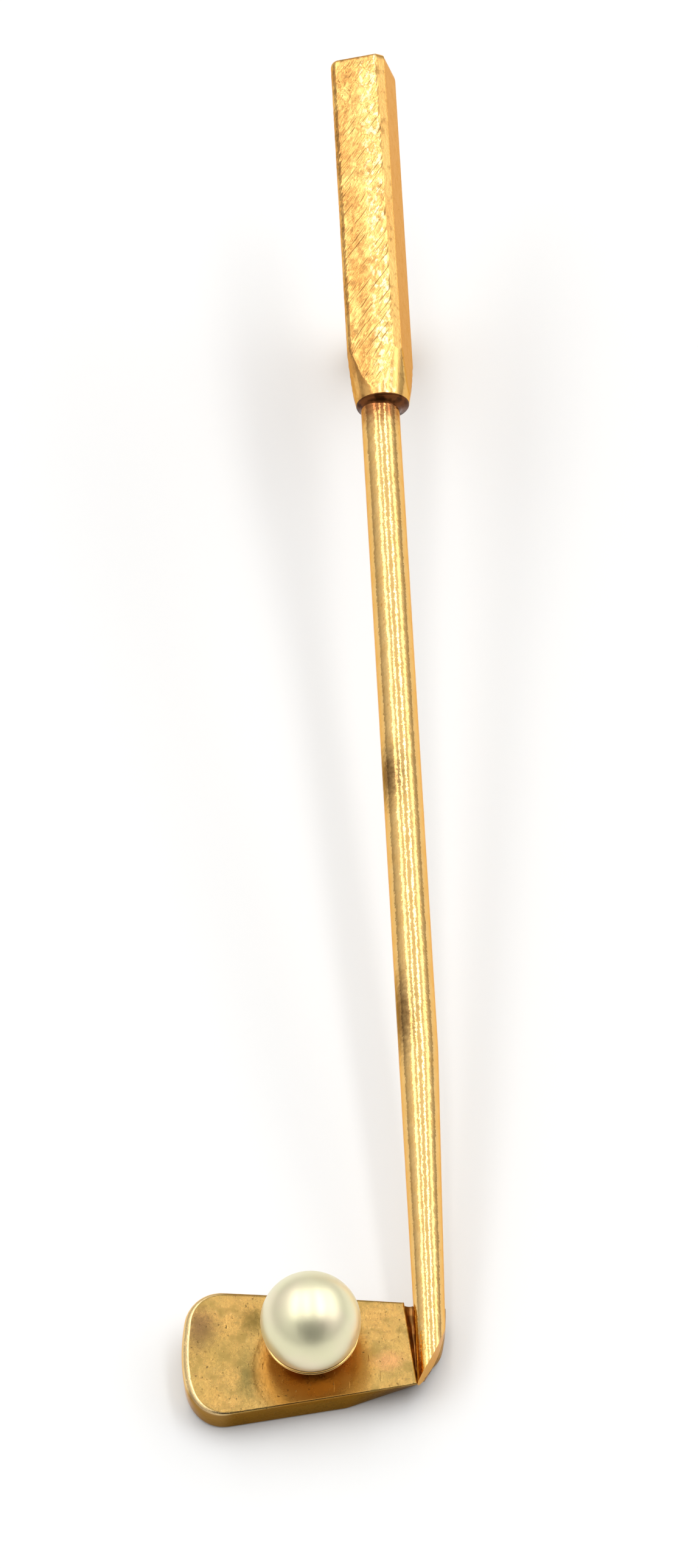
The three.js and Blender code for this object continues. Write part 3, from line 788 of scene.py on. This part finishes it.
def grip_section():
    """Points round the square bar, and whether each one is engraved. The front is dense."""
    half, flat_half = GRIP_HALF, GRIP_HALF - GRIP_CHAMFER
    corners = [
        (-flat_half, half), (flat_half, half), (half, flat_half), (half, -flat_half),
        (flat_half, -half), (-flat_half, -half), (-half, -flat_half), (-half, flat_half),
    ]
    points, fronts = [], []
    for i, count in enumerate(FACE_POINTS):
        start, end = corners[i], corners[(i + 1) % 8]
        if i == WORN_FACE:
            points.append(conic(start, (-WORN_CORNER, WORN_CORNER), end, count))
        else:
            points.append(line(start, end, count))
        fronts.append(np.full(count, i in ENGRAVED_FACES))
    return np.concatenate(points), np.concatenate(fronts)


def grip_relief(x, y):
    """Depth of the crosshatched engraving on the front, in millimetres."""
    main = strokes(x, y, math.radians(50), 0.1, 0.7, 11)
    second = strokes(x, y, math.radians(128), 0.11, 0.5, 12)
    fine = strokes(x, y, math.radians(60), 0.065, 0.45, 13)
    patch = lattice_noise(x / 0.8 + 5, y / 1.3, 14)
    share = np.clip(patch * 2.2 - 0.5, 0, 1)
    wave = lattice_noise(x / 0.45 + 2, y / 0.6, 15)
    engraved = 0.021 * main * (0.35 + 0.65 * share) + 0.018 * second * (1 - share)
    return engraved + 0.008 * fine + 0.006 * wave


def make_grip():
    section, front = grip_section()
    radius = np.hypot(section[:, 0], section[:, 1])
    corner_angle = np.abs(np.mod(np.arctan2(section[:, 1], section[:, 0]), math.pi / 2) - math.pi / 4)
    length = GRIP_END - GRIP_START
    corner_r = math.hypot(GRIP_HALF, GRIP_HALF - GRIP_CHAMFER)
    stations = np.concatenate([
        np.linspace(0, length - GRIP_TOP_ROUND, GRIP_STATIONS, endpoint=False),
        length - GRIP_TOP_ROUND + GRIP_TOP_ROUND * np.sin(np.linspace(0, math.pi / 2, 12)),
    ])
    rings = []
    for y in stations:
        cone = NECK_R + (corner_r - NECK_R) * y / NECK_LENGTH
        facet = (NECK_R + FACET_SLOPE * y) / np.cos(corner_angle)
        limit = np.minimum(np.minimum(radius, cone), facet)
        scale = limit / radius
        top = max(0.0, y - (length - GRIP_TOP_ROUND)) / GRIP_TOP_ROUND
        shrink = 1 - 0.1 * (1 - math.sqrt(max(0.0, 1 - top * top)))
        x, z = section[:, 0] * scale * shrink, section[:, 1] * scale * shrink
        inside = np.clip((GRIP_HALF - GRIP_CHAMFER - section[:, 0]) / 0.08, 0, 1)
        untouched = front * np.clip((scale - 0.985) / 0.015, 0, 1)
        fade = inside * untouched * (1 - top)
        z = z - fade * grip_relief(section[:, 0], np.full(len(x), y))
        rings.append(np.column_stack([x, np.full(len(x), y), z]))
    points, faces = loft(rings)
    cos, sin = math.cos(-GRIP_TWIST), math.sin(-GRIP_TWIST)
    x = points[:, 0] * cos + points[:, 2] * sin + GRIP_OFFSET
    z = -points[:, 0] * sin + points[:, 2] * cos
    placed = np.column_stack([x, points[:, 1] + GRIP_START, z])
    mesh = raw_mesh("grip_bar", placed, faces)
    place("grip_bar", mesh, brushed, "tack", "grip", "brushed_gold", 30)


make_grip()


def make_grip_ring():
    """Dark solder on the grip's end, with an uneven fillet down the shaft."""
    angles = np.linspace(0, 2 * math.pi, 96, endpoint=False)
    uneven = lattice_noise(np.cos(angles) * 1.5 + 5, np.sin(angles) * 1.5 + 5, 8) - 0.5
    rings = []
    outer, inner_r = NECK_R - 0.01, SHAFT_R - 0.02
    for share, drop in ((0, 0), (0, 0.05), (0.12, 0.1), (0.5, 0.13), (0.8, 0.2), (0.93, 0.32), (1, 0.45)):
        spread = 1 + 0.5 * uneven
        radius = outer + (inner_r - outer) * share
        middle = GRIP_OFFSET * (1 - share)
        y = GRIP_START + 0.02 - drop * spread
        rings.append(np.column_stack([middle + radius * np.cos(angles), y, radius * np.sin(angles)]))
    points, faces = loft(rings)
    mesh = raw_mesh("grip_ring", points, faces)
    place("grip_ring", mesh, solder, "tack", "grip_solder_ring", "dark_solder", 50)


make_grip_ring()

# ------------------------------------------------------------------ pearl and cup


def arc(radius, start, end, steps):
    """[radius, height] pairs on a circle about the pearl's centre, angles from its foot."""
    return [
        (radius * math.sin(a), -radius * math.cos(a))
        for a in np.linspace(start, end, steps + 1)
    ]


def make_pearl():
    centre = (CUP_X, CUP_Y, PEARL_Z)
    mouth = math.asin(PEARL_HOLE_R / PEARL_R)
    surface = arc(PEARL_R, mouth, math.pi, 90)
    surface[-1] = (0.0, PEARL_R)
    top = PEARL_HOLE_DEPTH - PEARL_R
    profile = [(0.0, top), (PEARL_HOLE_R, top), *surface]
    points, faces = lathe(profile, centre, 1, 128)
    offset = points - np.array(centre)
    turn = np.arctan2(offset[:, 1], offset[:, 0])
    uneven = lattice_noise(turn * 0.9 + 4, offset[:, 2] * 0.8 + 3, 9) - 0.5
    points = np.array(centre) + offset * (1 + 0.006 * uneven * (np.abs(offset[:, :1].T[0]) > 0.4))[:, None]
    place("pearl_ball", raw_mesh("pearl_ball", points, faces), nacre, "tack", "pearl", "pearl_nacre", 60)


def make_cup():
    inner_r = PEARL_R + 0.012
    outer_r = inner_r + CUP_WALL
    floor = 0.0 - PEARL_Z
    base = math.acos(-floor / (outer_r + 0.12))
    profile = [(PEARL_HOLE_R, floor), (outer_r * math.sin(base) + 0.06, floor)]
    profile += arc(outer_r, base, CUP_RIM_ANGLE, 20)
    profile += arc(inner_r, CUP_RIM_ANGLE, math.asin(PEARL_HOLE_R / inner_r), 24)
    profile.append(profile[0])
    points, faces = lathe(softened(profile, 0.03), (CUP_X, CUP_Y, PEARL_Z), 1, 128)
    place("cup", raw_mesh("cup", points, faces), polished, "tack", "pearl_cup", "polished_gold", 40)


make_pearl()
make_cup()

# ------------------------------------------------------------------ tack and clutch

BEHIND = (GRIP_OFFSET, POST_Y, 0.0)
CLUTCH_AT = (GRIP_OFFSET, POST_Y, -CLUTCH_DEPTH)


def turned_piece(name, profile, centre, node, body, material=None, slot="polished_gold", soft=0.04):
    points, faces = lathe(softened(profile, soft), centre, -1, 96)
    mesh = raw_mesh(name, points, faces)
    place(name, mesh, material or polished, body, node, slot, 40)


def make_tack():
    sunk = BACK_DEPTH - 0.12
    seat = [
        (0, sunk), (PAD_R - 0.1, sunk), (PAD_R + 0.03, PAD_DEPTH - 0.05),
        (PAD_R - 0.03, PAD_DEPTH), (0, PAD_DEPTH),
    ]
    turned_piece("seat", seat, BEHIND, "tack_seat", "tack", solder, "dark_solder", 0.08)
    end = PAD_DEPTH + PAD_THICKNESS
    pad = [
        (0, PAD_DEPTH - 0.01), (PAD_R, PAD_DEPTH - 0.01), (PAD_R, end - 0.07), (PAD_R - 0.1, end),
        (POST_R + 0.12, end), (POST_R, end + 0.1), (0, end + 0.1),
    ]
    turned_piece("pad", pad, BEHIND, "tack_pad", "tack")
    tip = PAD_DEPTH + POST_LENGTH
    neck = tip - POST_POINT - 0.55
    post = [
        (0, PAD_DEPTH), (POST_R, PAD_DEPTH), (POST_R, neck), (POST_R - 0.06, neck + 0.08),
        (POST_R - 0.06, neck + 0.28), (POST_R, neck + 0.36), (POST_R, tip - POST_POINT),
        (0.24, tip - POST_POINT / 2), (0.1, tip - 0.12), (0, tip),
    ]
    turned_piece("post", post, BEHIND, "tack_post", "tack")


def make_clutch():
    hole = BUSHING_R + 0.01
    flange = [
        (hole, 0.0), (FLANGE_R, 0.0), (FLANGE_R, FLANGE_THICKNESS - 0.18),
        (CLUTCH_R + 0.02, FLANGE_THICKNESS), (hole, FLANGE_THICKNESS), (hole, 0.0),
    ]
    turned_piece("flange", flange, CLUTCH_AT, "clutch_flange", "clutch", soft=0.07)
    start, end = FLANGE_THICKNESS + 0.01, HOUSING_END - WASHER_THICKNESS
    housing = [
        (0.8, start), (CLUTCH_R + 0.04, start), (CLUTCH_R + 0.04, start + 0.22),
        (CLUTCH_R - 0.04, start + 0.3), (CLUTCH_R, start + 0.42), (CLUTCH_R, end - 0.5),
        (CLUTCH_R - 0.05, end - 0.44), (CLUTCH_R - 0.05, end - 0.36), (CLUTCH_R, end - 0.3),
        (CLUTCH_R, end), (BORE_R, end), (BORE_R, 1.85), (0.8, start),
    ]
    turned_piece("housing", housing, CLUTCH_AT, "clutch_housing", "clutch", soft=0.03)
    washer = [
        (STEM_R + 0.03, end + 0.01), (CLUTCH_R, end + 0.01), (CLUTCH_R, HOUSING_END),
        (STEM_R + 0.03, HOUSING_END), (STEM_R + 0.03, end + 0.01),
    ]
    turned_piece("end_washer", washer, CLUTCH_AT, "clutch_end_washer", "clutch", soft=0.07)


KNURLS = 36


def make_pull_cap():
    """Waisted, with a rim at its far end that has KNURLS grooves."""
    rim, waist = CLUTCH_R, CLUTCH_R - 0.2
    profile = softened([
        (STEM_R + 0.01, CAP_START), (rim, CAP_START), (rim, CAP_START + 0.3),
        (waist, CAP_START + 0.5), (waist, CAP_END - 0.75), (rim, CAP_END - 0.55),
        (rim, CAP_END - 0.14), (rim - 0.16, CAP_END), (0.0, CAP_END),
    ], 0.06)
    floor, stem_end, hole = CAP_END - 0.3, STEM_DEPTH + 0.01, POST_R + 0.03
    inside = [(0.0, floor), (hole, floor), (hole, stem_end), (STEM_R + 0.01, stem_end)]
    points, faces = lathe(inside + profile, CLUTCH_AT, -1, 144)
    offset = points - np.array(CLUTCH_AT)
    turn = np.arctan2(offset[:, 1], offset[:, 0])
    radius = np.hypot(offset[:, 0], offset[:, 1])
    depth = -offset[:, 2]
    knurled = (depth > CAP_END - 0.56) & (depth < CAP_END - 0.12) & (radius > rim - 0.08)
    cut = 1 - knurled * 0.012 * (1 + np.cos(turn * KNURLS))
    points[:, :2] = np.array(CLUTCH_AT)[:2] + offset[:, :2] * cut[:, None]
    mesh = raw_mesh("pull_cap", points, faces)
    place("pull_cap", mesh, polished, "release", "clutch_pull_cap", "polished_gold", 40)


make_tack()
make_clutch()
make_pull_cap()

for node, obj in frame["nodes"].items():
    obj.data.materials.clear()
    sprung = node.startswith("clutch_ball") or node == "clutch_spring"
    obj.data.materials.append(steel if sprung else inner)

# ------------------------------------------------------------------ floor, light, camera


FLOOR_REACH = 1.5  # metres from the middle to each side


def make_floor():
    shader = Shader("floor_white", Base_Color=(0.87, 0.87, 0.865, 1), Roughness=0.5)
    shader.set(shader.surface, {"Specular_IOR_Level": 0.35})
    mesh = bpy.data.meshes.new("floor")
    low, high = -FLOOR_REACH, FLOOR_REACH
    corners = [(low, low, 0), (high, low, 0), (high, high, 0), (low, high, 0)]
    mesh.from_pydata(corners, [], [(0, 1, 2, 3)])
    mesh.materials.append(shader.material)
    floor = bpy.data.objects.new("floor", mesh)
    bpy.context.scene.collection.objects.link(floor)


# A light tent with four long tubes overhead, in the club's own directions: (angle to the
# side of the club's face in degrees, half-width, soft edge, brightness). The tubes reach
# from TUBE_LOW to TUBE_HIGH along the shaft, and the tent is dim near the photographer.
TUBES = (
    (-33, 4, 6, 1.9),
    (-6, 2, 3, 3.3),
    (25, 2.5, 3.5, 3.8),
    (54, 4, 7, 1.3),
)
TENT = (8, 58, 12, 0.22)
TUBE_LOW, TUBE_HIGH = -0.1, 0.72
HORIZON = 0.46
SKY_RISE = 0.3
DIM = 0.88


def make_world():
    world = bpy.data.worlds.new("studio")
    world.use_nodes = True
    bpy.context.scene.world = world
    nodes, links = world.node_tree.nodes, world.node_tree.links

    def math_node(operation, a, b=0.0):
        node = nodes.new("ShaderNodeMath")
        node.operation = operation
        for socket, value in zip(node.inputs, (a, b)):
            if isinstance(value, bpy.types.NodeSocket):
                links.new(value, socket)
            else:
                socket.default_value = value
        return node.outputs["Value"]

    def smooth(value, low, high):
        node = nodes.new("ShaderNodeMapRange")
        node.interpolation_type = "SMOOTHSTEP"
        links.new(value, node.inputs["Value"])
        node.inputs["From Min"].default_value = low
        node.inputs["From Max"].default_value = high
        return node.outputs["Result"]

    def along(axis):
        node = nodes.new("ShaderNodeVectorMath")
        node.operation = "DOT_PRODUCT"
        links.new(direction, node.inputs[0])
        node.inputs[1].default_value = axis
        return node.outputs["Value"]

    def band(value, low, high, soft):
        return math_node("MULTIPLY", smooth(value, low - soft, low), smooth(value, high + soft, high))

    direction = nodes.new("ShaderNodeTexCoord").outputs["Generated"]
    turn = CLUB.to_3x3().normalized()
    x, y, z = (along(turn.col[i]) for i in range(3))
    side = math_node("MULTIPLY", math_node("ARCTAN2", x, z), 180 / math.pi)
    light = None
    for middle, half, soft, brightness in (*TUBES, TENT):
        lamp = band(side, middle - half, middle + half, soft)
        lamp = math_node("MULTIPLY", lamp, brightness)
        light = lamp if light is None else math_node("ADD", light, lamp)
    light = math_node("MULTIPLY", light, band(y, TUBE_LOW, TUBE_HIGH, 0.15))
    dim = math_node("MULTIPLY", band(y, -0.9, -0.42, 0.14), band(side, -30, 42, 14))
    dim = math_node("SUBTRACT", 1.0, math_node("MULTIPLY", dim, DIM))
    up = smooth(along((0, 0, 1)), 0.05, 0.5)
    sky = math_node("ADD", HORIZON, math_node("MULTIPLY", up, SKY_RISE))
    total = math_node("MULTIPLY", math_node("ADD", sky, light), dim)
    links.new(total, nodes["Background"].inputs["Strength"])
    nodes["Background"].inputs["Color"].default_value = (1, 1, 1, 1)


# The photograph's angle: tilted off the club's face towards the head, and a little rolled.
CAMERA_TILT = math.radians(27.0)
CAMERA_ROLL = math.atan(0.0564)
CAMERA_DISTANCE = 325.0
CAMERA_TARGET = Vector((-1.92, 23.59, 0.0))
SENSOR_WIDTH = 36.0
LENS = 207.5


def make_camera():
    tilt, roll = CAMERA_TILT, CAMERA_ROLL
    back = Vector((0, -math.sin(tilt), math.cos(tilt)))
    level = Vector((1, 0, 0))
    upward = Vector((0, math.cos(tilt), math.sin(tilt)))
    right = level * math.cos(roll) - upward * math.sin(roll)
    up = level * math.sin(roll) + upward * math.cos(roll)
    turn = CLUB.to_3x3().normalized() @ Matrix((right, up, back)).transposed()
    data = bpy.data.cameras.new("camera")
    data.sensor_width = SENSOR_WIDTH
    data.lens = LENS
    data.clip_start, data.clip_end = 0.01, 10
    camera = bpy.data.objects.new("camera", data)
    place_at = CLUB @ (CAMERA_TARGET + back * CAMERA_DISTANCE)
    camera.matrix_world = Matrix.Translation(place_at) @ turn.to_4x4()
    bpy.context.scene.collection.objects.link(camera)
    bpy.context.scene.camera = camera


make_floor()
make_world()
make_camera()
bpy.context.scene.view_settings.view_transform = "Standard"
